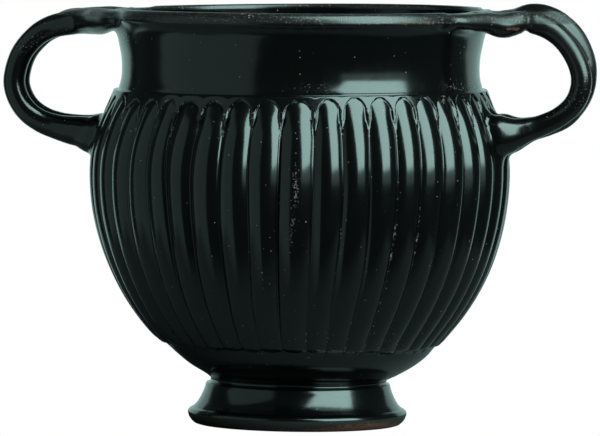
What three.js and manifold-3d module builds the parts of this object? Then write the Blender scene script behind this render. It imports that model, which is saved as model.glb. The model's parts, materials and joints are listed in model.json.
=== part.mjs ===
// A black-gloss ribbed cup with two upright ring handles, thrown and fired as one piece of clay.
// Millimetres, +Z up. The wheel axis is the Z axis, the foot rests on z = 0, the handles lie along X
// and the front looks towards -Y.
import * as THREE from "three";
import { mergeVertices } from "three/addons/utils/BufferGeometryUtils.js";
import Module from "manifold-3d";

// Height of the rim above the table
const RIM_HEIGHT = 120;

// Body: two half ellipses that meet at the widest height
const BELLY_RADIUS = 60.85;
const BELLY_HEIGHT = 73;
const SHOULDER_SPAN = 48;
const BOWL_SPAN = 66.5;

// Ribs: upright tongues, round on top, that stand proud of the plain bowl below them. Their backs
// are arcs that lean over by the flank angle at the valleys. The hand-cut ribs of the front are
// uneven, so their widths are listed in degrees, from left to right, and the rest share what is left.
const RIB_COUNT = 43;
const FRONT_RIB_WIDTHS = [
  9.4, 9, 8.7, 6.8, 8.6, 8.3, 8.4, 8.4, 9.8, 8, 7.8, 8.2, 7.6, 8, 8.8, 8.1, 7.9, 7.8,
];
const FRONT_RIB_START = -151.8;
const RIB_FLANK_ANGLE = 38;
const RIB_FOOT_HEIGHT = 23.6;
const RIB_TOP_HEIGHT = 95.8;
const RIB_ARCH_HEIGHT = 4;
const RIB_FADE = 2.2;
const RIB_FACETS = 4;

// Shoulder strip, groove, neck and lip
const SHOULDER_RADIUS = 54;
const GROOVE_HEIGHT = 97.1;
const NECK_RADIUS = 51.4;
const LIP_RADIUS = 55.8;
const LIP_FACE = 3.2;
const LIP_THICKNESS = 3.6;

// Stem and moulded foot
const STEM_RADIUS = 25.4;
const STEM_HEIGHT = 12.7;
const TORUS_RADIUS = 31.6;
const TORUS_HEIGHT = 3.3;
const RESTING_RADIUS = 29.8;
const RING_WIDTH = 4.6;
const TORUS_ROUNDING = 2.4;
const FOOT_TOP_RADIUS = 26.6;
const FOOT_TOP_HEIGHT = 11.2;
const BOWL_TOP = 32;
const RECESS_DEPTH = 8.5;
const RECESS_BOSS = 1.2;

// Hollow of the bowl: the wall is measured from the bottom of the valleys
const VALLEY_DEPTH = 1.5;
const WALL = 3.6;
const FLOOR_HEIGHT = 16.5;

// Handles: two round strands side by side, bent into an upright ring
const STRAND_RADIUS = 3.35;
const STRAND_GAP = 5.5;
const TIP_LENGTH = 24;
const LUG_RADIUS = 3.9;
const LUG_DISTANCE = 18;
const LUG_LENGTH = 6;
const ROOT_HEIGHT = 83.4;
const ROOT_LENGTH = 11;
const ROOT_FLARE = 2;

// Facets round each kind of piece
const TURN_FACETS = RIB_COUNT;
const HOLLOW_FACETS = 34;
const STRAND_FACETS = 8;
const STRAND_STEPS = 20;

const wasm = await Module();
wasm.setup();

// A closed three.js geometry as a solid that can be joined and cut.
function solid(geometry) {
  const bare = geometry.clone();
  bare.deleteAttribute("normal");
  bare.deleteAttribute("uv");
  const merged = mergeVertices(bare, 1e-4);
  const corners = merged.index.array;
  const kept = [];
  for (let i = 0; i < corners.length; i += 3) {
    const [a, b, c] = [corners[i], corners[i + 1], corners[i + 2]];
    if (a !== b && b !== c && c !== a) kept.push(a, b, c);
  }
  const vertProperties = merged.attributes.position.array;
  const made = new wasm.Manifold(
    new wasm.Mesh({ numProp: 3, vertProperties, triVerts: new Uint32Array(kept) }),
  );
  if (made.volume() < 0) throw new Error("a solid is inside out");
  return made;
}

// The surface of a solid as a three.js geometry.
function geometryOf(shape) {
  const mesh = shape.getMesh();
  const geometry = new THREE.BufferGeometry();
  geometry.setAttribute("position", new THREE.BufferAttribute(mesh.vertProperties, 3));
  geometry.setIndex(new THREE.BufferAttribute(mesh.triVerts, 1));
  geometry.computeVertexNormals();
  return geometry;
}

// A solid of revolution about Z from an outline of [radius, height] points, listed upwards.
function turned(outline, facets) {
  const points = outline.map(([radius, height]) => new THREE.Vector2(radius, height));
  return new THREE.LatheGeometry(points, facets).rotateX(Math.PI / 2);
}

// A smooth stretch of outline through a few points.
function smooth(points, steps) {
  const curve = new THREE.SplineCurve(points.map(([radius, height]) => new THREE.Vector2(radius, height)));
  return curve.getPoints(steps).map((p) => [p.x, p.y]);
}

// Radius of the rib crests at a height.
function bodyRadius(height) {
  const span = height > BELLY_HEIGHT ? SHOULDER_SPAN : BOWL_SPAN;
  const share = (height - BELLY_HEIGHT) / span;
  return BELLY_RADIUS * Math.sqrt(1 - share * share);
}

// Where each rib begins, in degrees round the wheel axis, and where the last one ends.
function ribEdges() {
  const front = FRONT_RIB_WIDTHS.reduce((sum, width) => sum + width);
  const plainWidth = (360 - front) / (RIB_COUNT - FRONT_RIB_WIDTHS.length);
  const edges = [FRONT_RIB_START];
  for (let rib = 0; rib < RIB_COUNT; rib++) {
    edges.push(edges[rib] + (FRONT_RIB_WIDTHS[rib] ?? plainWidth));
  }
  return edges;
}

// How deep the surface lies below the rib crests. Across a rib, side runs from -1 in one valley,
// through 0 on the crest, to 1 in the next valley.
function ribDrop(side, halfWidth, height) {
  const lean = Math.sin(THREE.MathUtils.degToRad(RIB_FLANK_ANGLE));
  const back = (1 - Math.sqrt(1 - (side * lean) ** 2)) / lean;
  const archLine = RIB_TOP_HEIGHT - RIB_ARCH_HEIGHT * (1 - Math.sqrt(1 - side * side));
  const fade = THREE.MathUtils.clamp((archLine - height) / RIB_FADE, 0, 1);
  return halfWidth * back * fade;
}

// The belt of ribs: a turned drum whose columns of corners move to the rib edges and crests, and
// whose wall is pushed in towards the valleys.
function ribBelt() {
  const heights = [RIB_FOOT_HEIGHT, 31, 43, 58, 74, 89, 92.3, RIB_TOP_HEIGHT];
  const wall = heights.map((height) => [bodyRadius(height), height]);
  const outline = [[0, RIB_FOOT_HEIGHT], ...wall, [0, RIB_TOP_HEIGHT]];
  const drum = turned(outline, RIB_COUNT * RIB_FACETS);
  const edges = ribEdges();
  const at = drum.attributes.position;
  for (let i = 0; i < at.count; i++) {
    const [x, y, z] = [at.getX(i), at.getY(i), at.getZ(i)];
    const radius = Math.hypot(x, y);
    if (radius < 1) continue;
    const turn = Math.atan2(y, x) / (2 * Math.PI) + 1;
    const column = Math.round(turn * RIB_COUNT * RIB_FACETS) % (RIB_COUNT * RIB_FACETS);
    const rib = Math.floor(column / RIB_FACETS);
    const share = (column % RIB_FACETS) / RIB_FACETS;
    const width = edges[rib + 1] - edges[rib];
    const angle = THREE.MathUtils.degToRad(edges[rib] + share * width);
    const halfWidth = radius * THREE.MathUtils.degToRad(width / 2);
    const pushed = radius - ribDrop(2 * share - 1, halfWidth, z);
    at.setXY(i, pushed * Math.cos(angle), pushed * Math.sin(angle));
  }
  return solid(drum);
}

// Shoulder strip with its groove, concave neck, and the thick lip that turns out over it.
function neckAndLip() {
  const neck = smooth(
    [
      [SHOULDER_RADIUS - 0.7, GROOVE_HEIGHT + 0.4],
      [51.9, 99],
      [NECK_RADIUS, 103],
      [52.1, 109.3],
      [LIP_RADIUS - 0.5, RIM_HEIGHT - LIP_FACE - 1],
    ],
    7,
  );
  const outline = [
    [0, RIB_TOP_HEIGHT - 1.2],
    [SHOULDER_RADIUS - 1.2, RIB_TOP_HEIGHT - 1.2],
    [SHOULDER_RADIUS, RIB_TOP_HEIGHT - 0.2],
    [SHOULDER_RADIUS - 0.1, GROOVE_HEIGHT - 0.5],
    [SHOULDER_RADIUS - 0.9, GROOVE_HEIGHT],
    ...neck,
    [LIP_RADIUS, RIM_HEIGHT - LIP_FACE + 0.4],
    [LIP_RADIUS, RIM_HEIGHT - 1.2],
    [LIP_RADIUS - 1.2, RIM_HEIGHT],
    [LIP_RADIUS - LIP_THICKNESS + 0.8, RIM_HEIGHT - 0.2],
    [0, RIM_HEIGHT - 0.2],
  ];
  return solid(turned(outline, TURN_FACETS));
}

// Resting ring, torus, flaring foot with its groove, stem and plain lower bowl.
function bowlAndFoot() {
  const torus = [];
  for (const turn of [-55, -10, 35, 75]) {
    const angle = THREE.MathUtils.degToRad(turn);
    const radius = TORUS_RADIUS - TORUS_ROUNDING * (1 - Math.cos(angle));
    torus.push([radius, TORUS_HEIGHT + TORUS_ROUNDING * Math.sin(angle)]);
  }
  const bowl = smooth(
    [
      [STEM_RADIUS, STEM_HEIGHT],
      [27.6, 14.2],
      [33.4, 18],
      [39, 23.2],
      [46, BOWL_TOP],
    ],
    6,
  );
  const outline = [
    [0, 0],
    [RESTING_RADIUS, 0],
    ...torus,
    [28.1, 7.2],
    [FOOT_TOP_RADIUS, FOOT_TOP_HEIGHT],
    [STEM_RADIUS + 0.2, FOOT_TOP_HEIGHT + 0.5],
    ...bowl,
    [0, BOWL_TOP],
  ];
  return solid(turned(outline, TURN_FACETS));
}

// The hollow inside the bowl and neck.
function hollow() {
  const body = [22, 30, 42, 58, 74, 87].map((height) => [bodyRadius(height) - VALLEY_DEPTH - WALL, height]);
  const outline = [
    [0, FLOOR_HEIGHT],
    [14, FLOOR_HEIGHT + 0.5],
    [25, FLOOR_HEIGHT + 2.6],
    ...body,
    [NECK_RADIUS - WALL + 0.8, GROOVE_HEIGHT],
    [NECK_RADIUS - WALL, 103],
    [NECK_RADIUS - WALL + 1.6, 112],
    [LIP_RADIUS - LIP_THICKNESS, RIM_HEIGHT - 1.2],
    [LIP_RADIUS - LIP_THICKNESS + 0.6, RIM_HEIGHT + 0.6],
    [0, RIM_HEIGHT + 0.6],
  ];
  return solid(turned(outline, HOLLOW_FACETS));
}

// The hollow under the foot, with a low boss in its middle.
function footRecess() {
  const inner = RESTING_RADIUS - RING_WIDTH;
  const outline = [
    [0, -1],
    [inner + 0.4, -1],
    [inner, 0],
    [inner - 4, RECESS_DEPTH - 2],
    [inner - 8, RECESS_DEPTH],
    [6, RECESS_DEPTH],
    [0, RECESS_DEPTH - RECESS_BOSS],
  ];
  return solid(turned(outline, HOLLOW_FACETS));
}

// The line of one strand in its upright plane, as [radius, height] points from the rim to the body.
// The rear strand of the right handle stands a little higher than the front one.
const RINGS = [
  { side: 1, front: true, line: [[73, 115.2], [79.2, 109.8], [82.8, 100], [79, 91.5], [70.5, 86.9]] },
  { side: 1, front: false, line: [[73.5, 117.4], [80.4, 111.4], [83, 99.8], [78.7, 90.5], [70.5, 86.2]] },
  { side: -1, front: true, line: [[73, 114.1], [80.6, 109], [84.5, 99.5], [80.3, 89.2], [71.5, 84.7]] },
  { side: -1, front: false, line: [[73, 114.4], [80.6, 109.3], [84.5, 99.7], [80.3, 90], [71.5, 85.7]] },
];

// Where a strand lies on the lip in plan, from its thin tip to the place where it leaves the lip.
const ON_THE_LIP = [
  [48.5, 24, 117.8],
  [53.8, 16.5, 117.2],
  [60.2, 9.2, 116.4],
  [66.8, 3.5, 116.6],
];

// Radius of a strand at a distance from its tip: thin at first, swollen to a lug beside the lip,
// even round the ring, and wider again where it runs into the body.
function strandRadius(distance, length) {
  const tip = Math.min(1, 0.45 + distance / TIP_LENGTH);
  const lug = (LUG_RADIUS - STRAND_RADIUS) * Math.exp(-(((distance - LUG_DISTANCE) / LUG_LENGTH) ** 2));
  const root = Math.max(0, 1 - (length - distance) / ROOT_LENGTH);
  return STRAND_RADIUS * tip + lug + ROOT_FLARE * root * root;
}

// One strand: it lies along the lip, springs from it, rounds the ring and ends in the body wall.
function strand({ side, front, line }) {
  const across = front ? -1 : 1;
  const offset = (across * STRAND_GAP) / 2;
  const places = [
    ...ON_THE_LIP.map(([x, y, z]) => [x, across * y, z]),
    ...line.map(([radius, height]) => [radius, offset, height]),
    [63, offset, ROOT_HEIGHT + 0.8],
    [56, offset, ROOT_HEIGHT],
  ];
  const path = new THREE.CatmullRomCurve3(
    places.map(([x, y, z]) => new THREE.Vector3(side * x, y, z)),
    false,
    "centripetal",
  );
  const section = new THREE.Shape().absarc(0, 0, STRAND_RADIUS, 0, 2 * Math.PI);
  const tube = new THREE.ExtrudeGeometry(section, {
    extrudePath: path,
    steps: STRAND_STEPS,
    curveSegments: STRAND_FACETS / 2,
  });
  const stations = path.getSpacedPoints(STRAND_STEPS);
  const length = path.getLength();
  const at = tube.attributes.position;
  const corner = new THREE.Vector3();
  for (let i = 0; i < at.count; i++) {
    corner.fromBufferAttribute(at, i);
    const gaps = stations.map((station) => station.distanceTo(corner));
    const nearest = gaps.indexOf(Math.min(...gaps));
    const radius = strandRadius((length * nearest) / STRAND_STEPS, length);
    corner.sub(stations[nearest]).setLength(radius).add(stations[nearest]);
    at.setXYZ(i, corner.x, corner.y, corner.z);
  }
  return solid(tube);
}

// A pad of clay shaped like an egg, from its middle and its half sizes.
function pad(x, z, length, width, height) {
  const egg = new THREE.SphereGeometry(1, 10, 7).rotateX(Math.PI / 2);
  egg.scale(length, width, height).translate(x, 0, z);
  return solid(egg);
}

// The two strands of a handle share a root on the body, and a web bridges them where they part.
function handles() {
  const strands = RINGS.map(strand);
  const pads = [1, -1].flatMap((side) => [
    pad(side * 59.5, ROOT_HEIGHT, 6.5, 7.5, 6.4),
    pad(side * 58.5, 116.2, 13.5, 12.5, 2.9),
  ]);
  return [...strands, ...pads].reduce((whole, piece) => whole.add(piece));
}

const clay = ribBelt()
  .add(neckAndLip())
  .add(bowlAndFoot())
  .add(handles())
  .subtract(hollow())
  .subtract(footRecess());

const blackGloss = new THREE.MeshStandardMaterial({ color: 0x0e1412, roughness: 0.22, metalness: 0 });
const vessel = new THREE.Mesh(geometryOf(clay), blackGloss);
vessel.name = "skyphos";

const part = new THREE.Group();
part.add(vessel);

export default part;
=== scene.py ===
# %% [markdown]
# # A ribbed black-gloss cup
# This lesson makes an old drinking cup in Blender: a deep bowl with upright ribs, a tall neck with a
# turned-out lip, a moulded foot and two ring handles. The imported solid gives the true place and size,
# and the mesh made here takes its place, so both share one frame. The first cell opens it.

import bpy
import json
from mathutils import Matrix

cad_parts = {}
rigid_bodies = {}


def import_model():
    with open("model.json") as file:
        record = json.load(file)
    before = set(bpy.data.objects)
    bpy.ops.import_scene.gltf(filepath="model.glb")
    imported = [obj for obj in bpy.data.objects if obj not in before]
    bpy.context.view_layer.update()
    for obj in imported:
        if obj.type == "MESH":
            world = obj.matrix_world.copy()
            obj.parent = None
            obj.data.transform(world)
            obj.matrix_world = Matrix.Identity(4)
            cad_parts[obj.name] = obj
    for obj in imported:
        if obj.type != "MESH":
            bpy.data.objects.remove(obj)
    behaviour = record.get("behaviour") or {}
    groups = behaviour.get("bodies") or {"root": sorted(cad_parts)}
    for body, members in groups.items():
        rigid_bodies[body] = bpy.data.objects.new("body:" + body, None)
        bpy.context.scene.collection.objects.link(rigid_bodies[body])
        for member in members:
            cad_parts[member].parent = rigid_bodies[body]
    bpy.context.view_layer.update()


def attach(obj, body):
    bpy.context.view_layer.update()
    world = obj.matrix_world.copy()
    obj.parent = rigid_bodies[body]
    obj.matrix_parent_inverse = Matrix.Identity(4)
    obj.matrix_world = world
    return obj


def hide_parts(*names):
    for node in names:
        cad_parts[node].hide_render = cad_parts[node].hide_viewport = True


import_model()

# %% Tools of the lesson
import json
import math

import bpy
import numpy as np
from mathutils import Matrix, Vector
from mathutils.kdtree import KDTree

MM = 0.001
chance = np.random.default_rng(44)
print("tools ready, one millimetre is", MM, "m")

# %% [markdown]
# ## The camera
# A small object looks calm when it is photographed from far away through a long lens, because its
# near and far sides then have almost the same scale. The camera could be placed by eye. Here its
# distance, height and turn come from the ellipses that the rim, the groove and the foot make in the
# picture, so that the rest of the shape can be measured through it.

# %% Place the camera
VIEW_DISTANCE = 2.02
VIEW_TURN = math.radians(12)
VIEW_HEIGHT = 0.176
AIM_HEIGHT = 0.0595
AIM_LEFT = 0.0003
VIEW_ROLL = math.radians(0.7)
LENS_LENGTH = 420
SENSOR_WIDTH = 36
FAR_LIMIT = 60

eye = Vector((VIEW_DISTANCE * math.sin(VIEW_TURN), -VIEW_DISTANCE * math.cos(VIEW_TURN), VIEW_HEIGHT))
picture_right = Vector((math.cos(VIEW_TURN), math.sin(VIEW_TURN), 0))
aim = Vector((0, 0, AIM_HEIGHT)) - picture_right * AIM_LEFT
lens = bpy.data.cameras.new("long_lens")
lens.lens = LENS_LENGTH
lens.sensor_width = SENSOR_WIDTH
lens.clip_end = FAR_LIMIT
camera = bpy.data.objects.new("camera", lens)
bpy.context.scene.collection.objects.link(camera)
turned_to_aim = (aim - eye).to_track_quat("-Z", "Y").to_matrix().to_4x4()
camera.matrix_world = Matrix.Translation(eye) @ turned_to_aim @ Matrix.Rotation(VIEW_ROLL, 4, "Z")
bpy.context.scene.camera = camera
print("camera", round((aim - eye).length, 3), "m from the cup")

# %% [markdown]
# ## Light for a black gloss
# A black, shiny pot shows hardly any colour of its own: what the eye sees is the room mirrored in it.
# So the lights are placed by where their mirror images lie on the pot. A bright soft box stands to
# the right and above, a wide dim panel to the left, and a white wall behind gives the bright edges.
# Area lights do this well, because they have a size, a sharp border and only one shining side. A dim
# strip under the bright box lets its reflections fade out downwards.

# %% Soft boxes and wall
COOL = (0.65, 1.0, 0.945)
LIGHT_AIM_HEIGHT = 0.07


def softbox(name, turn, rise, distance, width, height, brightness):
    """A rectangular light. Turn is counted to the right of the camera, rise up from level."""
    light = bpy.data.lights.new(name, "AREA")
    light.shape = "RECTANGLE"
    light.size = width
    light.size_y = height
    light.energy = math.pi * width * height * brightness
    light.color = COOL
    lamp = bpy.data.objects.new(name, light)
    bpy.context.scene.collection.objects.link(lamp)
    bearing = VIEW_TURN + math.radians(turn)
    up = math.radians(rise)
    level = Vector((math.sin(bearing), -math.cos(bearing), 0)) * math.cos(up)
    towards = level + Vector((0, 0, math.sin(up)))
    place = Vector((0, 0, LIGHT_AIM_HEIGHT)) + towards * distance
    facing_cup = towards.to_track_quat("Z", "Y").to_matrix().to_4x4()
    lamp.matrix_world = Matrix.Translation(place) @ facing_cup
    lamp.visible_camera = False


softbox("key_box", 48.5, 40, 2.6, 2.2, 3.4, 9.3)
softbox("key_skirt", 48.5, 2, 2.6, 2.2, 0.46, 0.9)
softbox("left_panel", -65.5, -6, 2.6, 3.7, 5.6, 0.4)
softbox("white_wall", 180, -10, 5.0, 10.4, 7.2, 0.72)

# %% [markdown]
# ## Floor and room
# The floor looks white to the camera. What the cup mirrors of it is another matter: a grey table top
# that ends a hand's breadth from the foot, with nothing beyond it. A real studio table could be built
# for this, but one sheet does both jobs when its material asks whether the camera is looking.

# %% Where the table top lies
TABLE_FRONT = 0.10
TABLE_SIDE = 0.18
TABLE_EDGE = 0.025
TABLE_GREY = 0.125
FLOOR_REACH = 7
floor_paper = bpy.data.materials.new("floor_paper")
floor_paper.use_nodes = True
tree = floor_paper.node_tree
tree.nodes.clear()
where = tree.nodes.new("ShaderNodeTexCoord")
turned_with_view = tree.nodes.new("ShaderNodeMapping")
turned_with_view.inputs["Rotation"].default_value = (0, 0, -VIEW_TURN)
tree.links.new(where.outputs["Object"], turned_with_view.inputs["Vector"])
axes = tree.nodes.new("ShaderNodeSeparateXYZ")
tree.links.new(turned_with_view.outputs[0], axes.inputs[0])


def number_node(tree, operation, *values, clamp=False):
    """A Math node fed by numbers or by other nodes' outputs."""
    node = tree.nodes.new("ShaderNodeMath")
    node.operation = operation
    node.use_clamp = clamp
    for socket, value in zip(node.inputs, values):
        if isinstance(value, (int, float)):
            socket.default_value = value
        else:
            tree.links.new(value, socket)
    return node.outputs[0]


def soft_limit(tree, distance, limit):
    """1 well inside the limit and 0 well outside, with a soft edge."""
    return number_node(tree, "SUBTRACT", (limit + TABLE_EDGE) / (2 * TABLE_EDGE),
                       number_node(tree, "MULTIPLY", distance, 1 / (2 * TABLE_EDGE)), clamp=True)


beside = soft_limit(tree, number_node(tree, "ABSOLUTE", axes.outputs["X"]), TABLE_SIDE)
ahead = soft_limit(tree, number_node(tree, "MULTIPLY", axes.outputs["Y"], -1), TABLE_FRONT)
behind = soft_limit(tree, axes.outputs["Y"], TABLE_SIDE)
on_table = number_node(tree, "MULTIPLY", number_node(tree, "MULTIPLY", beside, ahead), behind)
print("table top:", TABLE_SIDE * 2, "m wide,", TABLE_SIDE + TABLE_FRONT, "m deep")

# %% White for the camera, grey for the cup
paper = tree.nodes.new("ShaderNodeBsdfDiffuse")
paper.inputs["Color"].default_value = (TABLE_GREY, TABLE_GREY, TABLE_GREY, 1)
clear = tree.nodes.new("ShaderNodeBsdfTransparent")
white = tree.nodes.new("ShaderNodeEmission")
ray = tree.nodes.new("ShaderNodeLightPath")
table_or_clear = tree.nodes.new("ShaderNodeMixShader")
either = tree.nodes.new("ShaderNodeMixShader")
out = tree.nodes.new("ShaderNodeOutputMaterial")
tree.links.new(on_table, table_or_clear.inputs[0])
tree.links.new(clear.outputs[0], table_or_clear.inputs[1])
tree.links.new(paper.outputs[0], table_or_clear.inputs[2])
tree.links.new(ray.outputs["Is Camera Ray"], either.inputs[0])
tree.links.new(table_or_clear.outputs[0], either.inputs[1])
tree.links.new(white.outputs[0], either.inputs[2])
tree.links.new(either.outputs[0], out.inputs["Surface"])

floor_mesh = bpy.data.meshes.new("floor")
corners = [(x * FLOOR_REACH, y * FLOOR_REACH, 0) for x, y in ((-1, -1), (1, -1), (1, 1), (-1, 1))]
floor_mesh.from_pydata(corners, [], [(0, 1, 2, 3)])
floor = bpy.data.objects.new("floor", floor_mesh)
bpy.context.scene.collection.objects.link(floor)
floor_mesh.materials.append(floor_paper)
floor.location.z = -0.1 * MM
print("floor:", 2 * FLOOR_REACH, "m wide")

# %% The room around
ROOM_GLOW = 0.055

world = bpy.data.worlds.new("room")
bpy.context.scene.world = world
world.use_nodes = True
tree = world.node_tree
tree.nodes.clear()
seen = tree.nodes.new("ShaderNodeBackground")
dim = tree.nodes.new("ShaderNodeBackground")
dim.inputs["Color"].default_value = (*COOL, 1)
dim.inputs["Strength"].default_value = ROOM_GLOW
ray = tree.nodes.new("ShaderNodeLightPath")
either = tree.nodes.new("ShaderNodeMixShader")
out = tree.nodes.new("ShaderNodeOutputWorld")
tree.links.new(ray.outputs["Is Camera Ray"], either.inputs[0])
tree.links.new(dim.outputs[0], either.inputs[1])
tree.links.new(seen.outputs[0], either.inputs[2])
tree.links.new(either.outputs[0], out.inputs["Surface"])
bpy.context.scene.view_settings.view_transform = "Standard"
print("room glow:", ROOM_GLOW)

# %% [markdown]
# ## The thrown shape
# The potter threw the bowl on a wheel and turned its foot, so every level is nearly a circle. Such a
# shape is a list of rings. The body is two half ellipses that meet at the widest height, and the
# other stretches are short curves through a few measured points. Sizes are in millimetres, as in the
# solid, and become metres at the very end.

# %% Outline of the body
BELLY_RADIUS = 60.85
BELLY_HEIGHT = 73
SHOULDER_SPAN = 48
BOWL_SPAN = 66.5
SHOULDER_HEIGHT = 92
SHOULDER_RADIUS = 55.85
SHOULDER_SLOPE = 0.4
WALL = 3.6


def body_radius(height):
    """Radius of the rib crests at a height."""
    height = np.asarray(height, float)
    span = np.where(height > BELLY_HEIGHT, SHOULDER_SPAN, BOWL_SPAN)
    share = (height - BELLY_HEIGHT) / span
    round_part = BELLY_RADIUS * np.sqrt(np.clip(1 - share * share, 0, 1))
    straight_part = SHOULDER_RADIUS - SHOULDER_SLOPE * (height - SHOULDER_HEIGHT)
    return np.where(height > SHOULDER_HEIGHT, np.maximum(round_part, straight_part), round_part)


CURVE_STEPS = 40


def smooth_line(points, count):
    """Count points along a smooth curve through the given ones, evenly spaced along it."""
    points = np.array(points, float)
    ends = np.vstack([2 * points[0] - points[1], points, 2 * points[-1] - points[-2]])
    found = []
    for k in range(len(points) - 1):
        a, b, c, d = ends[k:k + 4]
        for t in np.linspace(0, 1, CURVE_STEPS, endpoint=False):
            found.append(0.5 * (2 * b + (c - a) * t + (2 * a - 5 * b + 4 * c - d) * t**2
                                + (3 * b - a - 3 * c + d) * t**3))
    found.append(points[-1])
    found = np.array(found)
    gone = np.concatenate([[0], np.cumsum(np.linalg.norm(np.diff(found, axis=0), axis=1))])
    steps = np.linspace(0, gone[-1], count)
    return np.stack([np.interp(steps, gone, found[:, axis]) for axis in range(found.shape[1])], axis=1)


belly_width = 2 * float(body_radius(BELLY_HEIGHT))
print("belly", round(belly_width, 1), "mm wide")

# %% [markdown]
# ## The ribs
# The ribs were cut or pressed by hand: upright tongues with round backs, arched tops and an uneven
# foot. They could be made with a bump texture, but at this size they change the outline and carry
# the highlights, so they are real shape. Each rib gets sixteen columns of points, closer together
# in the valleys. The front ribs follow the picture, which shows them all a little different, and
# those at the back get chance widths of the same kind.

# %% Where the ribs stand
RIB_COUNT = 43
FRONT_RIB_WIDTHS = [
    9.4, 9, 8.7, 6.8, 8.6, 8.3, 8.4, 8.4, 9.8, 8, 7.8, 8.2, 7.6, 8, 8.8, 8.1, 7.9, 7.8,
]
FRONT_RIB_START = -151.8
RIB_FLANK = math.sin(math.radians(40))
RIB_FOOT = 23.6
RIB_TOP = 95.8
ARCH_HEIGHT = 4.0

left_over = RIB_COUNT - len(FRONT_RIB_WIDTHS)
back_widths = 1 + chance.uniform(-0.09, 0.09, left_over)
back_widths *= (360 - sum(FRONT_RIB_WIDTHS)) / back_widths.sum()
rib_edges = FRONT_RIB_START + np.concatenate([[0], np.cumsum(FRONT_RIB_WIDTHS + list(back_widths))])

half_across = np.array([0.17, 0.35, 0.53, 0.7, 0.83, 0.885, 0.945])
across = np.concatenate([[-1], -half_across[::-1], [0], half_across])
column_rib = np.repeat(np.arange(RIB_COUNT), len(across))
column_side = np.tile(across, RIB_COUNT)
rib_width = np.diff(rib_edges)[column_rib]
column_angle = rib_edges[column_rib] + (column_side + 1) / 2 * rib_width
print(RIB_COUNT, "ribs,", len(column_angle), "columns")
print("rib widths in degrees:", rib_width.min().round(1), "to", rib_width.max().round(1))

# %% Small irregularities of each rib
TOP_SPREAD = 0.22
FOOT_SPREAD = 0.18
DEPTH_SPREAD = 0.07
CREST_SPREAD = 0.08
top_shift = chance.normal(0, TOP_SPREAD, RIB_COUNT)[column_rib]
foot_shift = chance.normal(0, FOOT_SPREAD, RIB_COUNT)[column_rib]
depth_share = (1 + chance.normal(0, DEPTH_SPREAD, RIB_COUNT))[column_rib]
crest_shift = chance.normal(0, CREST_SPREAD, RIB_COUNT)[column_rib]
print("rib tops uneven by up to", round(float(np.abs(top_shift).max()), 2), "mm")

# %% Wandering valley lines
VALLEY_SPREAD = 0.16
VALLEY_WAVES = 3


def wander(strength, waves, count=RIB_COUNT):
    """A slow chance curve for each valley line: a function of a height share from 0 to 1."""
    size = chance.normal(0, strength, (waves, count))
    start = chance.uniform(0, 2 * math.pi, (waves, count))

    def at(share):
        total = np.zeros(count)
        for wave in range(waves):
            total += size[wave] * np.sin(start[wave] + (wave + 1) * math.pi * share)
        return total * math.sin(math.pi * share) ** 0.5
    return at


valley_wander = wander(VALLEY_SPREAD, VALLEY_WAVES)


def column_wander(share):
    """How far each column moves sideways, in degrees, carried over from the valleys on its two sides."""
    valleys = valley_wander(min(max(share, 0), 1))
    left = valleys[column_rib]
    right = valleys[(column_rib + 1) % RIB_COUNT]
    return left + (right - left) * (column_side + 1) / 2


LEAN = 0.03
UPRIGHT_HEIGHT = 65


def twist(height):
    """The whole belt of ribs leans a little: degrees that a level turns by."""
    return LEAN * (np.clip(height, RIB_FOOT, RIB_TOP) - UPRIGHT_HEIGHT)


print("the belt leans by", round(float(twist(RIB_TOP) - twist(RIB_FOOT)), 1), "degrees from foot to top")

# %% Arched tops
def ease(value):
    """A soft step from 0 to 1."""
    value = np.clip(value, 0, 1)
    return value * value * (3 - 2 * value)


# The tops and feet of the ribs lie on rings that are a little out of level across the view.
TOP_SLANT = 0.8
FOOT_SLANT = 0.3
round_view = np.radians(column_angle) + math.pi / 2 - VIEW_TURN
top_shift += TOP_SLANT * np.sin(round_view)
foot_shift -= FOOT_SLANT * np.sin(round_view)

NARROW = 0.86
NARROW_FROM = 85.5
NARROW_OVER = 6


def tongue_edge(height):
    """Where a rib's own edge lies between its crest (0) and the valley (1): arches are narrower."""
    return 1 - (1 - NARROW) * ease((height - NARROW_FROM) / NARROW_OVER)


def arch_line(side):
    """Height of a rib's arched top. Side runs from valley (-1) to valley (1)."""
    inside = np.clip(1 - (side / NARROW) ** 2, 0, 1)
    return RIB_TOP - ARCH_HEIGHT * (1 - np.sqrt(inside)) + top_shift


print("arches:", ARCH_HEIGHT, "mm high, ribs", round(RIB_TOP - RIB_FOOT, 1), "mm long")

# %% The back of a rib
TOP_DEPTH = 0.42
TOP_FADE = 7.5
FOOT_DEPTH = 0.7
FOOT_FADE = 9
GROUND_DEPTH = 0.36
GROUND_FADE = 6.5


def rib_drop(height, side, radius):
    """How deep the surface lies below the crest line, in millimetres.

    The back is a round arc. It gets shallower towards the arched top and towards the foot, and
    outside the arch the ground between two ribs rises to the shoulder strip.
    """
    half = radius * np.radians(rib_width) / 2
    cusp = RIB_TOP - ARCH_HEIGHT + top_shift
    up = np.clip((height - cusp) / ARCH_HEIGHT, 0, 1)
    out = np.sqrt((side / tongue_edge(height)) ** 2 + up**2)
    round_back = (1 - np.sqrt(1 - (np.clip(out, 0, 1) * RIB_FLANK) ** 2)) / RIB_FLANK
    full = TOP_DEPTH + (1 - TOP_DEPTH) * ease((RIB_TOP - 1 - height) / TOP_FADE)
    low = ease((height - RIB_FOOT + 2) / FOOT_FADE) * (1 - FOOT_DEPTH) + FOOT_DEPTH
    tongue = half * round_back * full * low * depth_share
    between = half * GROUND_DEPTH * ease((cusp + 0.5 - height) / GROUND_FADE)
    return np.where(out > 1, np.minimum(between, tongue), tongue)


drops = rib_drop(BELLY_HEIGHT, column_side, BELLY_RADIUS)
print("deepest valley at the belly:", drops.max().round(2), "mm")

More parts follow.
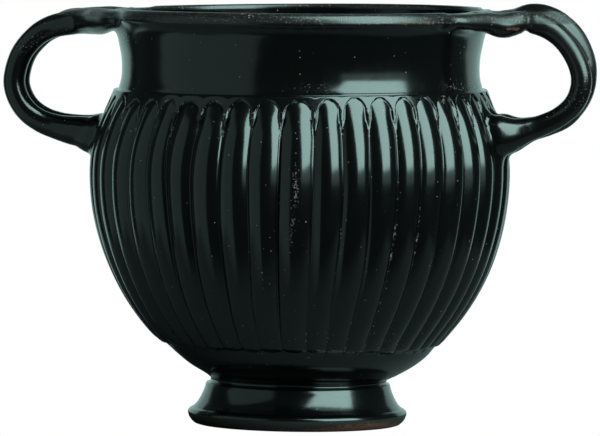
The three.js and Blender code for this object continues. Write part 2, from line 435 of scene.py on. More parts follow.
# %% [markdown]
# ## Rows of points
# The belt of ribs needs rows that follow the arched tops, or their outlines would look like stairs.
# Below the ribs and above them half as many columns are enough. Each row is a ring of points, and a
# small routine joins neighbouring rows with faces: squares where they match, and five-cornered faces
# where a fine row meets a coarse one.

# %% One row of points
def ring(radius, height, angles):
    """Points on one level or on a wavy line round the axis. Angles are in degrees."""
    turn = np.radians(angles)
    radius = np.broadcast_to(radius, turn.shape)
    height = np.broadcast_to(height, turn.shape)
    return np.stack([radius * np.cos(turn), radius * np.sin(turn), height], axis=1)


CREST_FADE = 6


def belt_row(height):
    """One row of the ribs at a height, or at a height for each column."""
    height = np.broadcast_to(np.asarray(height, float), column_side.shape)
    radius = body_radius(height)
    share = float(height.mean() - RIB_FOOT) / (RIB_TOP - RIB_FOOT)
    angle = column_angle + twist(height) + column_wander(share)
    drop = rib_drop(height, column_side, radius)
    crest = crest_shift * ease((RIB_TOP - height) / CREST_FADE)
    return ring(radius - drop + crest, height, angle)


first_row = belt_row(RIB_FOOT)
first_radius = np.hypot(first_row[:, 0], first_row[:, 1]).mean()
print("lowest row:", len(first_row), "points,", first_radius.round(1), "mm from the axis")

# %% Belt of ribs
# The foot of the ribs is rounded: each row is lifted a little and tucked in a little less.
FOOT_ROWS = [(0.0, 0.9), (0.12, 0.45), (0.35, 0.18), (0.8, 0.05), (1.6, 0)]
LEVEL_ROWS = 24
LEVEL_LOW = 27
LEVEL_HIGH = 84
ARCH_SHARES = [0.2, 0.38, 0.53, 0.65, 0.75, 0.83, 0.89, 0.94, 0.975, 1.0]
STRIP_SHARES = [0, 0.12, 0.3, 0.55, 0.8, 1.0]
STRIP_TOP = 96.75
STRIP_GAP = 0.28
STRIP_LEAST = 0.25
ARCH_SHARPNESS = 0.5
FOOT_WAVE = 0.25
WAVES_ROUND = 3

belt = []
foot_line = RIB_FOOT + foot_shift + FOOT_WAVE * np.sin(np.radians(column_angle * WAVES_ROUND))
for lift, tuck in FOOT_ROWS:
    row = belt_row(foot_line + lift)
    level = 1 - tuck / np.linalg.norm(row[:, :2], axis=1)
    row[:, :2] *= level[:, None]
    belt.append(row)
for height in np.linspace(LEVEL_LOW, LEVEL_HIGH, LEVEL_ROWS):
    belt.append(belt_row(height))
for share in ARCH_SHARES:
    belt.append(belt_row(LEVEL_HIGH + (arch_line(column_side) - LEVEL_HIGH) * share))
arch_bend = 1 - np.sqrt(np.clip(1 - (column_side / NARROW) ** 2, 0, 1))
outer_line = arch_line(column_side) + STRIP_GAP + ARCH_SHARPNESS * arch_bend
outer_line = np.minimum(outer_line, STRIP_TOP - STRIP_LEAST)
for share in STRIP_SHARES:
    height = outer_line + (STRIP_TOP - outer_line) * share
    beyond = np.abs(column_side) > NARROW - 0.01
    wedge = rib_drop(height, column_side, body_radius(height)) * beyond
    belt.append(ring(body_radius(height) - wedge, height, column_angle + twist(height)))
print(len(belt), "rows of", len(column_angle), "points for the ribs")

# %% Turned stretches: foot, lower bowl, neck, lip and inside
coarse_angle = column_angle[::2]


def turned(outline, lean_height):
    """Coarse rings for a list of [radius, height] points."""
    return [ring(radius, height, coarse_angle + twist(lean_height)) for radius, height in outline]


recess = [
    [3, 7.4], [6, 7.9], [9, 8.4], [13, 8.6], [17, 8.5], [20, 7.6], [22.4, 5.4], [24, 2.8], [25, 0.8],
    [25.5, 0.15],
]
resting_ring = [[26.2, 0], [29.2, 0], [29.8, 0.2]]
torus = [
    [30.6, 0.9], [31.25, 1.8], [31.6, 2.8], [31.65, 3.4], [31.5, 3.85], [31.0, 4.3], [30.4, 4.65],
    [30.1, 4.75],
]
foot_flare = smooth_line([
    [29.95, 4.95], [29.1, 5.85], [28.1, 7.5], [27.3, 9.3], [26.8, 10.7], [26.65, 11.5],
], 8)
stem = [[26.4, 11.85], [25.9, 11.95], [25.5, 12.2], [25.4, 12.7], [25.65, 13.2]]
bowl = smooth_line([[26.1, 13.5], [28.7, 15], [32.6, 17.3], [36.2, 20.2], [38.3, 22.4], [39.1, 23.2]], 11)
below = recess + resting_ring + torus + list(foot_flare) + stem + list(bowl)
groove = [[53.6, 96.85], [52.9, 96.87], [52.45, 96.9], [52.35, 97.1], [52.38, 97.5]]
neck = smooth_line([
    [52.36, 97.72], [52.15, 98.4], [51.93, 99.3], [51.76, 100.2], [51.66, 101.2], [51.62, 103.5],
    [51.84, 106.4], [52.27, 108.7], [52.73, 110.9], [53.05, 112.2], [53.4, 113.4],
], 20)
lip = [
    [53.65, 114.0], [54.1, 114.75], [54.65, 115.45], [55.25, 116.15], [55.75, 116.7], [55.97, 117.1],
    [55.9, 117.6], [55.75, 118.3], [55.45, 119.0], [55.0, 119.6], [54.45, 119.95], [53.7, 120.05],
    [52.8, 120.0], [52.25, 119.75], [52.05, 119.35],
]
inside_neck = smooth_line([
    [52.05, 118.5], [52.1, 116.6], [52.0, 114.6], [51.2, 112.2], [49.4, 108.6], [48.1, 104],
    [48.1, 100], [49.6, 96],
], 12)
VALLEY_DEPTH = 1.5
INSIDE_HEIGHTS = [90, 82, 73, 62, 50, 40, 32, 26, 22]
inside_body = [[float(body_radius(h)) - VALLEY_DEPTH - WALL, h] for h in INSIDE_HEIGHTS]
inside_floor = smooth_line([[29.4, 20.1], [25, 19.1], [19, 18.0], [12, 17.0], [5, 16.55]], 6)
above = groove + list(neck) + lip + list(inside_neck) + inside_body + list(inside_floor)
rows = turned(below, 0) + belt + turned(above, 120)
print(len(rows), "rows in all")

# %% Join the rows to a closed skin
def skin(rows, first_tip, last_tip):
    """Points and faces from rows listed from the underside, over the outside, to the inside floor."""
    points = [np.array([first_tip])] + rows + [np.array([last_tip])]
    starts = np.concatenate([[0], np.cumsum([len(row) for row in points])])
    faces = []
    for low in range(len(points) - 1):
        a, b = starts[low], starts[low + 1]
        n, m = len(points[low]), len(points[low + 1])
        if n == 1:
            faces += [(a, b + (k + 1) % m, b + k) for k in range(m)]
        elif m == 1:
            faces += [(a + k, a + (k + 1) % n, b) for k in range(n)]
        elif n == m:
            faces += [(a + k, a + (k + 1) % n, b + (k + 1) % m, b + k) for k in range(n)]
        elif n < m:
            for k in range(n):
                faces.append((a + k, a + (k + 1) % n, b + (2 * k + 2) % m, b + 2 * k + 1, b + 2 * k))
        else:
            for k in range(m):
                faces.append((a + 2 * k, a + 2 * k + 1, a + (2 * k + 2) % n, b + (k + 1) % m, b + k))
    return np.vstack(points), faces


RECESS_MIDDLE = 7.3
FLOOR_MIDDLE = 16.5
body_points, body_faces = skin(rows, (0, 0, RECESS_MIDDLE), (0, 0, FLOOR_MIDDLE))
print("body:", len(body_points), "points,", sum(len(face) - 2 for face in body_faces), "triangles")

# %% [markdown]
# ## A shape made by hand
# A pot from the wheel is never quite true: levels slip a little when the foot is turned, the whole
# body sags to one side and the rim warps when the handles go on. The points could be pushed about
# one by one. Here three gentle rules move them all, with amounts measured along the outline.

# %% Let the shape settle
# How far each level slipped to the right in the picture, in millimetres.
SLIP_HEIGHTS = [0, 12.4, 14.5, 20, 26, 45, 62, 80, 120]
SLIPS = [-0.46, -0.3, 0.8, 0.9, 0.05, -0.05, -0.45, -0.6, -0.6]
TILT = 0.010
RIM_WARP = 0.006
WARP_REACH = 51


def settle(points):
    """The cup as it came off the wheel: each level a little off centre and out of level."""
    points = np.array(points, float)
    to_right = np.array([math.cos(VIEW_TURN), math.sin(VIEW_TURN)])
    to_back = np.array([-math.sin(VIEW_TURN), math.cos(VIEW_TURN)])
    right = points[:, :2] @ to_right
    back = points[:, :2] @ to_back
    height = points[:, 2].copy()
    slip = np.interp(height, SLIP_HEIGHTS, SLIPS)
    points[:, :2] += slip[:, None] * to_right
    points[:, 2] += right * np.interp(height, [0, 13, 70], [0, 0, TILT])
    points[:, 2] += right * back / WARP_REACH * np.interp(height, [98, 114], [0, RIM_WARP])
    return points


settled_points = settle(body_points)
moved = np.linalg.norm(settled_points - body_points, axis=1).max()
body_points = settled_points
print("points moved by up to", moved.round(2), "mm")

# %% A mesh of the body
def mesh_piece(name, points, faces):
    """A mesh object from points in millimetres."""
    mesh = bpy.data.meshes.new(name)
    mesh.from_pydata((np.asarray(points) * MM).tolist(), [], faces)
    mesh.validate()
    piece = bpy.data.objects.new(name, mesh)
    bpy.context.scene.collection.objects.link(piece)
    return piece


skyphos = mesh_piece("skyphos_gloss", body_points, body_faces)
print("mesh of the body:", len(skyphos.data.polygons), "faces")

# %% [markdown]
# ## The handles
# Each handle is a rope of two clay strands. They part beside the rim, where each ends in a flattened
# tip, come together, bend round in an upright ring and spread into the body in one root. A curve with
# a round bevel would make such a strand, but its thickness swells and shrinks at set places, so a
# round section is swept along a list of places. Each place is [outward, sideways, height, radius].

# %% Places along the strands
STRANDS = {
    "right_front": (1, -1, [
        [49.6, 24.2, 117.4, 2.0], [53.8, 17.9, 117.2, 2.7], [57.3, 12.9, 116.8, 3.05],
        [61.0, 8.8, 115.95, 3.6], [66.1, 4.4, 117.0, 3.25], [71.8, 2.8, 115.5, 3.12],
        [77.0, 2.75, 111.9, 3.0], [81.0, 2.75, 106.2, 3.02], [82.7, 2.75, 100.2, 3.15],
        [81.1, 2.75, 94.2, 3.1], [76.4, 2.75, 89.7, 3.0], [70.5, 3.0, 86.9, 3.2],
        [67.3, 3.6, 85.9, 3.6], [64.4, 4.0, 85.0, 4.4], [61.8, 4.3, 84.4, 5.5],
        [59.2, 4.4, 84.1, 6.4], [56.8, 4.0, 84.0, 6.4],
    ]),
    "right_rear": (1, 1, [
        [49.8, 23.8, 117.8, 1.4], [54.2, 17.0, 117.5, 2.2], [57.8, 12.4, 117.3, 2.6],
        [61.8, 8.0, 117.6, 3.0], [66.3, 4.6, 118.9, 3.1], [70.8, 3.0, 118.6, 3.15],
        [75.2, 2.75, 116.6, 3.15], [79.7, 2.75, 112.3, 3.15], [82.6, 2.75, 105.9, 3.15],
        [83.0, 2.75, 100.0, 3.15], [81.4, 2.75, 94.7, 3.15], [77.3, 2.75, 89.6, 3.15],
        [72.4, 2.8, 87.2, 3.2], [67.3, 3.6, 85.9, 3.6], [64.4, 4.0, 85.0, 4.4],
        [61.8, 4.3, 84.4, 5.5], [59.2, 4.4, 84.1, 6.4], [56.8, 4.0, 84.0, 6.4],
    ]),
    "left_front": (-1, -1, [
        [45.6, 28.8, 117.2, 1.8], [50.4, 22.9, 116.9, 3.0], [55.0, 15.3, 116.4, 3.85],
        [59.4, 9.2, 116.25, 3.95], [64.0, 4.9, 116.05, 3.75], [68.7, 3.2, 115.4, 3.6],
        [73.6, 2.75, 114.3, 3.45], [78.0, 2.75, 111.8, 3.3], [82.4, 2.75, 106.6, 3.25],
        [84.5, 2.75, 99.8, 3.25], [83.9, 2.75, 94.8, 3.25], [81.0, 2.75, 90.0, 3.25],
        [76.5, 2.75, 86.8, 3.35], [71.5, 2.7, 85.1, 3.7], [67.5, 3.0, 84.3, 4.2],
        [64.3, 3.3, 83.9, 4.6], [62.0, 3.6, 83.3, 5.3], [59.4, 3.9, 83.0, 6.3],
        [56.8, 4.0, 82.9, 6.6],
    ]),
    "left_rear": (-1, 1, [
        [49.5, 21.5, 117.6, 1.5], [54.5, 14.8, 117.1, 2.9], [59.2, 8.8, 116.7, 3.5],
        [64.0, 4.8, 116.6, 3.45], [68.7, 3.2, 116.0, 3.4], [73.6, 2.75, 114.4, 3.35],
        [78.0, 2.75, 111.8, 3.3], [82.4, 2.75, 106.6, 3.25], [84.5, 2.75, 99.8, 3.25],
        [83.9, 2.75, 95.0, 3.25], [81.0, 2.75, 90.4, 3.25], [76.5, 2.75, 87.3, 3.35],
        [71.5, 2.7, 85.5, 3.7], [67.5, 3.0, 84.6, 4.2], [64.3, 3.3, 83.8, 4.95],
        [62.0, 3.6, 83.3, 5.7], [59.4, 3.9, 83.0, 6.3], [56.8, 4.0, 82.9, 6.6],
    ]),
}
# Where a strand is pinched behind its tip: the place outward, and the depth.
CREASES = {"right_front": (66.6, 1.2)}
CREASE_WIDTH = 0.8
CREASE_ABOVE = 110
print("strand places:", {name: len(facts[2]) for name, facts in STRANDS.items()})

# %% Sweep a strand
TIP_BULGE = 0.6


def strand(name, side, across, places, steps=150, sides=28):
    """One closed strand from its tip on the lip to its root in the wall, pinched behind its tip if CREASES
    lists it.
    """
    path = smooth_line(places, steps)
    radius = path[:, 3]
    if name in CREASES:
        place, depth = CREASES[name]
        on_top = path[:, 2] > CREASE_ABOVE
        radius = radius - depth * np.exp(-(((path[:, 0] - place) / CREASE_WIDTH) ** 2)) * on_top
    path = path[:, :3] * [side, across, 1]
    along = np.gradient(path, axis=0)
    along /= np.linalg.norm(along, axis=1)[:, None]
    up = np.array([0, 0, 1.0])
    turn = np.linspace(0, 2 * math.pi, sides, endpoint=False)
    rings = []
    for k in range(steps):
        up = up - along[k] * up.dot(along[k])
        up /= np.linalg.norm(up)
        beside = np.cross(along[k], up)
        rings.append(path[k] + radius[k] * (np.cos(turn)[:, None] * up - np.sin(turn)[:, None] * beside))
    tip = path[0] - along[0] * radius[0] * TIP_BULGE
    points, faces = skin(rings, tip, path[-1])
    return mesh_piece(name, settle(points), faces)


ropes = [strand(name, *facts) for name, facts in STRANDS.items()]
print("strands:", [rope.name for rope in ropes])

# %% Clay between the strands
PAD_LEVELS = 22
PAD_SIDES = 36


def pad(name, x, z, length, width, height):
    """An egg-shaped pad of clay."""
    rows = []
    for rise in np.linspace(-math.pi / 2, math.pi / 2, PAD_LEVELS)[1:-1]:
        turn = np.linspace(0, 2 * math.pi, PAD_SIDES, endpoint=False)
        outward = x + length * np.cos(turn) * math.cos(rise)
        sideways = width * np.sin(turn) * math.cos(rise)
        rows.append(np.stack([outward, sideways, np.full(len(turn), z + height * math.sin(rise))], axis=1))
    points, faces = skin(rows, (x, 0, z - height), (x, 0, z + height))
    return mesh_piece(name, settle(points), faces)


for side, word in ((1, "right"), (-1, "left")):
    ropes.append(pad(f"{word}_web_near", side * 59.3, 116.5, 6.7, 11.5, 3.15))
    ropes.append(pad(f"{word}_web_far", side * 66, 117.1, 6.8, 5.6, 2.8))
ropes.append(pad("left_root_low", -58.6, 79.3, 3.5, 6.5, 4.8))
print("clay for the handles:", len(ropes), "pieces")

# %% Lay the clay together
def one_mesh(name, pieces):
    """Puts several pieces into one mesh, as they stand."""
    points, faces = [], []
    for piece in pieces:
        start = len(points)
        points += [tuple(point.co) for point in piece.data.vertices]
        faces += [[start + index for index in face.vertices] for face in piece.data.polygons]
        bpy.data.objects.remove(piece)
    mesh = bpy.data.meshes.new(name)
    mesh.from_pydata(points, [], faces)
    whole = bpy.data.objects.new(name, mesh)
    bpy.context.scene.collection.objects.link(whole)
    return whole


handles = one_mesh("handles", ropes)
print("handles before kneading:", len(handles.data.vertices), "points")

# %% Knead the handles into one piece
VOXEL = 0.58 * MM


def evaluated_mesh(piece):
    """The mesh of a piece with its modifiers applied."""
    bpy.context.view_layer.update()
    return bpy.data.meshes.new_from_object(piece.evaluated_get(bpy.context.evaluated_depsgraph_get()))


kneader = handles.modifiers.new("knead", "REMESH")
kneader.mode = "VOXEL"
kneader.voxel_size = VOXEL
kneaded = evaluated_mesh(handles)
handles.modifiers.clear()
handles.data = kneaded
print("kneaded:", len(kneaded.vertices), "points")

# %% Smooth the kneaded clay
KNEAD_ROUNDS = 5


def relax(mesh, weight, rounds):
    """Moves points towards the middle of their neighbours."""
    edges = np.zeros(len(mesh.edges) * 2, np.int64)
    mesh.edges.foreach_get("vertices", edges)
    a, b = edges[::2], edges[1::2]
    place = np.zeros(len(mesh.vertices) * 3)
    mesh.vertices.foreach_get("co", place)
    place = place.reshape(-1, 3)
    count = np.bincount(a, minlength=len(place)) + np.bincount(b, minlength=len(place))
    for _ in range(rounds):
        total = np.zeros_like(place)
        for axis in range(3):
            total[:, axis] += np.bincount(a, place[b, axis], len(place))
            total[:, axis] += np.bincount(b, place[a, axis], len(place))
        place += (total / count[:, None] - place) * (0.5 * weight)[:, None]
    mesh.vertices.foreach_set("co", place.ravel())
    mesh.update()


relax(kneaded, np.ones(len(kneaded.vertices)), KNEAD_ROUNDS)
kneaded.calc_loop_triangles()
print("handles:", len(kneaded.vertices), "points,", len(kneaded.loop_triangles), "triangles")

# %% Join the clay
# Two throwaway materials mark the faces of body and handles, so that the join can be found again.
markers = [bpy.data.materials.new(f"marker_{number}") for number in range(2)]
for number, piece in enumerate((skyphos, handles)):
    for marker in markers:
        piece.data.materials.append(marker)
    piece.data.polygons.foreach_set("material_index", np.full(len(piece.data.polygons), number, np.int32))
joiner = skyphos.modifiers.new("join", "BOOLEAN")
joiner.operation = "UNION"
joiner.solver = "MANIFOLD"
joiner.object = handles
joined = evaluated_mesh(skyphos)
skyphos.modifiers.clear()
skyphos.data = joined
bpy.data.objects.remove(handles)
joined.calc_loop_triangles()
print("joined:", len(joined.vertices), "points,", len(joined.loop_triangles), "triangles")

# %% [markdown]
# ## One skin
# After a boolean join the strands still look stuck on. The potter smeared wet clay over the joins
# with a finger. Smoothing just the points near a join does the same: each moves towards the middle
# of its neighbours, most at the join itself and less further away.

# %% Smear the joins
SMEAR_REACH = 3.8 * MM
SMEAR_ROUNDS = 50


def near_seams(mesh, reach):
    """For each point 1 at a join, falling to 0 at a distance of reach metres from one."""
    index = np.zeros(len(mesh.polygons), np.int32)
    mesh.polygons.foreach_get("material_index", index)
    first = {}
    seam = set()
    for face in mesh.polygons:
        for key in face.edge_keys:
            if key in first and index[first[key]] != index[face.index]:
                seam.update(key)
            first[key] = face.index
    tree = KDTree(len(seam))
    for number, point in enumerate(sorted(seam)):
        tree.insert(mesh.vertices[point].co, number)
    tree.balance()
    distance = np.array([tree.find(point.co)[2] for point in mesh.vertices])
    return ease(1 - distance / reach)


near = near_seams(joined, SMEAR_REACH)
relax(joined, near, SMEAR_ROUNDS)
for face in joined.polygons:
    face.use_smooth = True
print("smeared", int((near > 0).sum()), "points")

# %% [markdown]
# ## Where the cup is worn
# Wear isn't spread evenly. Clay shows where a hand or a shelf rubbed: on the lip, round the foot and on
# the tips of the handles. Fine pale lines follow the outlines of the ribs, where the gloss lies thin
# over an edge. Such places could be painted by hand. Here each is a soft patch given by its angle
# from the camera and its height, and the patches become numbers stored on the points of the mesh.

# %% Rib outlines on the turned body
VALLEY_EDGE = 0.84
VALLEY_SOFTNESS = 0.1
STRAIGHT_SHARE = 0.75


def outline_share():
    """For each point of the turned body 1 on an outline of a rib, falling to 0 beside it."""
    valley = ease((np.abs(column_side) - VALLEY_EDGE) / VALLEY_SOFTNESS)
    whole = np.ones(len(column_side))
    arch_start = len(FOOT_ROWS) + LEVEL_ROWS
    strip_start = arch_start + len(ARCH_SHARES)
    belt_shares = [valley] * len(belt)
    belt_shares[:3] = [whole] * 3
    belt_shares[3:arch_start] = [STRAIGHT_SHARE * valley] * (arch_start - 3)
    belt_shares[strip_start - 2:strip_start + 1] = [whole] * 3
    belt_shares[strip_start + 1:] = [0 * whole] * (len(belt) - strip_start - 1)
    plain_below = [np.zeros(len(coarse_angle))] * len(below)
    plain_above = [np.zeros(len(coarse_angle))] * len(above)
    return np.concatenate([[0]] + plain_below + belt_shares + plain_above + [[0]])


outline = outline_share()
print("body points on rib outlines:", int((outline > 0.5).sum()))

# %% Carry the outlines over to the joined mesh
OUTLINE_REACH = 1.2
INSIDE_REACH = 2
outside_rows = len(rows) - len(inside_floor) - len(inside_body) - len(inside_neck)
first_inside = 1 + sum(len(row) for row in rows[:outside_rows])
finder = KDTree(len(body_points))
for number, point in enumerate(body_points):
    finder.insert(point * MM, number)
finder.balance()
places = np.zeros(len(joined.vertices) * 3)
joined.vertices.foreach_get("co", places)
places = places.reshape(-1, 3) / MM
found = [finder.find(point * MM) for point in places]
nearest = np.array([item[1] for item in found])
gap = np.array([item[2] for item in found]) / MM
on_outline = outline[nearest] * ease(1 - gap / OUTLINE_REACH)
inside = (nearest >= first_inside) & (gap < INSIDE_REACH)
across_view = places[:, 0] * math.cos(VIEW_TURN) + places[:, 1] * math.sin(VIEW_TURN)
towards_view = places[:, 0] * math.sin(VIEW_TURN) - places[:, 1] * math.cos(VIEW_TURN)
angle_seen = np.degrees(np.arctan2(across_view, towards_view))
level = places[:, 2]
reach = np.hypot(places[:, 0], places[:, 1])
print("joined points on rib outlines:", int((on_outline > 0.5).sum()))

# %% Patches of wear
def patch(angle, height, half_angle, half_height):
    """A soft patch on the cup: 1 in its middle, 0 outside."""
    off = ((angle_seen - angle) / half_angle) ** 2 + ((level - height) / half_height) ** 2
    return np.exp(-np.minimum(off, 30))


def between(low, high, soft):
    """1 between two heights, with soft ends."""
    return ease((level - low) / soft + 0.5) * ease((high - level) / soft + 0.5)


def marks(spots):
    """The sum of several patches, each given as strength, angle, height, half angle, half height."""
    return sum(strength * patch(*spot) for strength, *spot in spots)


on_handle = reach > np.where(level > 97, 57.0, body_radius(np.clip(level, 26, 97)) + 1.5)
on_lip = between(117.0, 120.3, 0.5) * ~inside
print("points on the handles:", int(on_handle.sum()), "and on the lip:", int((on_lip > 0.5).sum()))

# %% Pale lines along the ribs
line_wear = on_outline * (0.3 + 0.2 * between(84, 97, 3) + marks([
    (0.5, 27.3, 56, 2.4, 20), (0.4, 35, 57, 2.4, 14), (0.45, 12.2, 56, 2, 7),
    (0.5, 12, 25, 16, 5), (0.2, 60, 80, 14, 16),
]))
print("line wear up to", round(float(line_wear.max()), 2))

# %% Pale bloom on the front ribs, the foot of the neck, the lip and the left handle
bloom = 0.42 * on_lip + marks([
    (0.62, -1.5, 72, 1.3, 9), (0.5, -2.5, 58, 1.1, 7), (0.36, 10, 29, 14, 4), (0.46, -72, 112.5, 6, 4),
    (0.42, 58, 99, 16, 2.2), (0.38, 5, 99.2, 13, 1.8), (0.4, 76, 95, 9, 5),
])
bloom += on_handle * marks([(0.95, -90.5, 118.2, 1.8, 0.8), (0.44, -97.5, 109, 4, 6)])
print("bloom up to", round(float(bloom.max()), 2))

# %% Bare clay on the lip, the foot, two ribs and the right lug
bare_clay = 0.55 * between(-1, 1.6, 1.2) + marks([
    (0.6, 36, 117.5, 20, 0.9), (0.9, 40, 1.2, 26, 1.6), (0.9, 47.5, 95.3, 1.2, 0.9),
    (0.8, 42.5, 83.5, 1, 1.2), (0.5, 38, 26, 14, 5), (0.3, -70, 117.5, 14, 1.5),
])
bare_clay += on_handle * marks([(0.9, 68.5, 115.7, 3.2, 0.9)])
print("clay up to", round(float(bare_clay.max()), 2))

# %% Dull gloss, specks and wheel lines
dullness = 0.95 * between(-1, 3.1, 0.7) + 0.5 * inside * ease((112 - level) / 10) + 0.5 * on_lip
dullness += 0.4 * between(-1, 7.2, 0.5) * (reach < 25) + 0.12 * on_handle
dullness += marks([(0.15, -91, 115.5, 9, 5), (0.3, -76, 112.5, 8, 4)])
dullness += on_handle * marks([(0.85, 86, 111, 14, 10)])
speck_share = 0.22 + 0.3 * on_lip + 0.25 * on_handle + marks([(0.1, 0, 62, 20, 26)])
speck_share += 0.05 * between(97, 114, 2) + 0.25 * between(97.8, 100.2, 1)
wheel_lines = between(-1, 13, 1.5) + 0.7 * between(97.4, 104, 2.5)
wheel_lines += 0.25 * between(104, 118, 3) + 0.4 * between(14, 23, 2)
print("dull up to", round(float(dullness.max()), 2), "specks up to", round(float(speck_share.max()), 2))

# %% Store the wear on the mesh
wear = {
    "line_wear": line_wear,
    "bloom": bloom,
    "clay": bare_clay,
    "dull": dullness,
    "specks": speck_share,
    "turning": wheel_lines,
}
for name, numbers in wear.items():
    field = joined.attributes.new(name, "FLOAT", "POINT")
    field.data.foreach_set("value", np.clip(numbers, 0, 1).astype(np.float32))
    print(name, "mean", round(float(np.clip(numbers, 0, 1).mean()), 3))

# %% [markdown]
# ## The black gloss
# The gloss is a thin skin of fine clay that sintered to a deep, slightly green black. It mirrors
# light like glass, but less evenly than glass: the skin is wavy, brush strokes and wheel lines show
# in the highlights, and tiny pits and specks break it. One shader with a dark colour and a low
# roughness does most of this. The wear mixes in pale bloom and red-brown clay, both much rougher.

# %% Reading the wear and making clouds
black_gloss = bpy.data.materials.new("black_gloss")
black_gloss.use_nodes = True
tree = black_gloss.node_tree
shader = tree.nodes["Principled BSDF"]
where = tree.nodes.new("ShaderNodeTexCoord").outputs["Object"]


def stored(name):
    """The wear number stored on the mesh under a name."""
    node = tree.nodes.new("ShaderNodeAttribute")
    node.attribute_name = name
    return node.outputs["Fac"]


def cloud(scale, detail=2.0, roughness=0.5, stretch=(1, 1, 1)):
    """Noise between 0 and 1. The scale counts lumps per metre."""
    mapping = tree.nodes.new("ShaderNodeMapping")
    mapping.inputs["Scale"].default_value = stretch
    tree.links.new(where, mapping.inputs["Vector"])
    noise = tree.nodes.new("ShaderNodeTexNoise")
    noise.inputs["Scale"].default_value = scale
    noise.inputs["Detail"].default_value = detail
    noise.inputs["Roughness"].default_value = roughness
    tree.links.new(mapping.outputs[0], noise.inputs["Vector"])
    return noise.outputs["Fac"]


def maths(operation, *values, clamp=False):
    """A Math node of the gloss."""
    return number_node(tree, operation, *values, clamp=clamp)


print("gloss begun with", len(tree.nodes), "nodes")

# %% Torn edges and specks
SPECK_SHARPNESS = 14


def torn(amount, noise, sharpness):
    """A mask that fills up as the amount grows, with a ragged edge given by the noise."""
    start = maths("MULTIPLY_ADD", amount, 0.8, -0.32)
    over = maths("SUBTRACT", start, maths("MULTIPLY_ADD", noise, 1.6, -0.6))
    return maths("MULTIPLY_ADD", over, sharpness, 0.3, clamp=True)


def speckle(scale, amount, size, stretch=(1, 1, 1), lean=(0, 0, 0)):
    """Round specks, or scratches if stretched: more of them and larger ones as the amount grows."""
    mapping = tree.nodes.new("ShaderNodeMapping")
    mapping.inputs["Scale"].default_value = stretch
    mapping.inputs["Rotation"].default_value = lean
    tree.links.new(where, mapping.inputs["Vector"])
    cells = tree.nodes.new("ShaderNodeTexVoronoi")
    cells.inputs["Scale"].default_value = scale
    tree.links.new(mapping.outputs[0], cells.inputs["Vector"])
    draw = tree.nodes.new("ShaderNodeSeparateColor")
    tree.links.new(cells.outputs["Color"], draw.inputs[0])
    chosen = maths("MULTIPLY", amount, 0.5)
    above = maths("SUBTRACT", draw.outputs[0], maths("SUBTRACT", 1, chosen))
    radius = maths("MULTIPLY", maths("DIVIDE", above, maths("MAXIMUM", chosen, 0.01)), size)
    within = maths("SUBTRACT", radius, cells.outputs["Distance"])
    return maths("MULTIPLY", within, SPECK_SHARPNESS, clamp=True)


# How many lumps or cells of each kind fit into a metre.
BLOOM_GRAIN = 1900
LINE_GRAIN = 900
CLAY_GRAIN = 700
SPECK_GRAIN = 480
DUST_GRAIN = 1100
SCRATCH_GRAIN = 520
print("a cell with one speck is", round(1 / SPECK_GRAIN / MM, 1), "mm wide")

# %% Masks of the wear
BLOOM_STRENGTH = 0.75
LINE_STRENGTH = 0.55
SPECK_STRENGTH = 0.8
SCRATCH_STRETCH = (1, 1, 0.22)
SCRATCH_LEAN = (0.3, 0.2, 0)
pale = torn(stored("bloom"), cloud(BLOOM_GRAIN, 3, 0.65), 7)
lines = torn(stored("line_wear"), cloud(LINE_GRAIN, 3, 0.7), 6)
clay = torn(stored("clay"), cloud(CLAY_GRAIN, 4, 0.7), 8)
coarse_specks = speckle(SPECK_GRAIN, stored("specks"), 0.13)
dust = speckle(DUST_GRAIN, maths("MULTIPLY", stored("specks"), 0.7), 0.22)
scratch_share = maths("MULTIPLY", stored("specks"), 0.8)
scratches = speckle(SCRATCH_GRAIN, scratch_share, 0.13, SCRATCH_STRETCH, SCRATCH_LEAN)
specks = maths("MAXIMUM", maths("MAXIMUM", coarse_specks, dust), scratches)
pale = maths("MAXIMUM", maths("MULTIPLY", pale, BLOOM_STRENGTH), maths("MULTIPLY", lines, LINE_STRENGTH))
pale = maths("MAXIMUM", pale, maths("MULTIPLY", specks, SPECK_STRENGTH))
dull = stored("dull")
worn = maths("MAXIMUM", pale, clay)
print("masks made,", len(tree.nodes), "nodes so far")

# %% Colour
def blend(factor, first, second):
    """Mixes two colours, each given as numbers or as a node's output."""
    node = tree.nodes.new("ShaderNodeMix")
    node.data_type = "RGBA"
    tree.links.new(factor, node.inputs["Factor"])
    for socket, colour in ((node.inputs[6], first), (node.inputs[7], second)):
        if isinstance(colour, tuple):
            socket.default_value = (*colour, 1)
        else:
            tree.links.new(colour, socket)
    return node.outputs[2]


GLOSS = (0.0013, 0.0013, 0.0013)
THIN_GLOSS = (0.012, 0.009, 0.008)
BLOOM = (0.34, 0.24, 0.235)
CLAY = (0.13, 0.036, 0.02)
DEEP_CLAY = (0.045, 0.015, 0.01)
THIN_COVER = 0.9
CLAY_COVER = 0.9
BLOOM_COVER = 0.75
mottled_clay = blend(cloud(500, 2), DEEP_CLAY, CLAY)
colour = blend(maths("MULTIPLY", dull, THIN_COVER), GLOSS, THIN_GLOSS)
colour = blend(maths("MULTIPLY", clay, CLAY_COVER), colour, mottled_clay)
colour = blend(maths("MULTIPLY", pale, BLOOM_COVER), colour, BLOOM)
tree.links.new(colour, shader.inputs["Base Color"])
print("colours: gloss", GLOSS, "clay", CLAY)

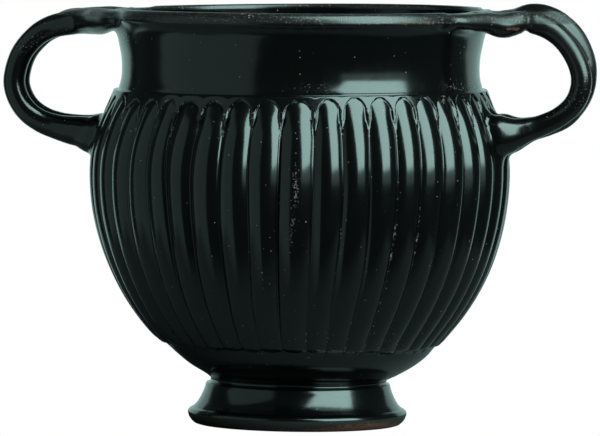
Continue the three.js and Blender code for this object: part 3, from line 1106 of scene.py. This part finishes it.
# %% Shine
SMOOTHEST = 0.085
CLOUDY = 0.1
SPOTTY = 0.08
WORN_ROUGHNESS = 0.6
GLOSS_IOR = 1.5
gloss_roughness = maths("MULTIPLY_ADD", cloud(70, 3, 0.6), CLOUDY, SMOOTHEST)
fine_spots = maths("POWER", cloud(420, 3, 0.6), 2)
gloss_roughness = maths("ADD", gloss_roughness, maths("MULTIPLY", fine_spots, SPOTTY))
matt = maths("MULTIPLY", dull, maths("MULTIPLY_ADD", dull, 0.28, 0.15))
gloss_roughness = maths("ADD", gloss_roughness, matt)
roughness = maths("MAXIMUM", gloss_roughness, maths("MULTIPLY", worn, WORN_ROUGHNESS))
tree.links.new(roughness, shader.inputs["Roughness"])
shader.inputs["IOR"].default_value = GLOSS_IOR
print("shine:", len(tree.nodes), "nodes so far")

# %% Small relief
# Heights in millimetres: the bump distance below is one millimetre.
WAVE_HEIGHT = 0.022
PEEL_HEIGHT = 0.0035
WHEEL_LINE_HEIGHT = 0.006
GRIT_HEIGHT = 0.012
CHIP_DEPTH = 0.03
WHEEL_LINE_STRETCH = (20, 20, 1100)
wavy = maths("MULTIPLY", cloud(95, 2, 0.5), WAVE_HEIGHT)
peel = maths("MULTIPLY", cloud(520, 2, 0.5), PEEL_HEIGHT)
turned_lines = maths("MULTIPLY", cloud(1, 2, 0.6, WHEEL_LINE_STRETCH), stored("turning"))
turned_lines = maths("MULTIPLY", turned_lines, WHEEL_LINE_HEIGHT)
grit = maths("MULTIPLY", maths("MULTIPLY", cloud(1500, 2, 0.7), dull), GRIT_HEIGHT)
chips = maths("MULTIPLY", worn, -CHIP_DEPTH)
gloss_relief = maths("ADD", maths("ADD", wavy, peel), maths("ADD", turned_lines, grit))
height = maths("ADD", gloss_relief, chips)
bump = tree.nodes.new("ShaderNodeBump")
bump.inputs["Distance"].default_value = MM
tree.links.new(height, bump.inputs["Height"])
tree.links.new(bump.outputs["Normal"], shader.inputs["Normal"])
print("gloss finished with", len(tree.nodes), "nodes")

# %% [markdown]
# ## Taking the solid's place
# The real cup is one piece of fired clay, so there is one object here for the one node of the solid.
# It could be parented by hand. The frame's own calls are used instead: they hide the solid and parent
# the mesh to the body it moves with, which carries the name that the library knows.

# %% Put the gloss on and take the solid's place
joined.materials.clear()
joined.materials.append(black_gloss)
joined.polygons.foreach_set("material_index", np.zeros(len(joined.polygons), np.int32))
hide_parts("skyphos")
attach(skyphos, "root")
print(skyphos.name, "rides on root and replaces the solid")
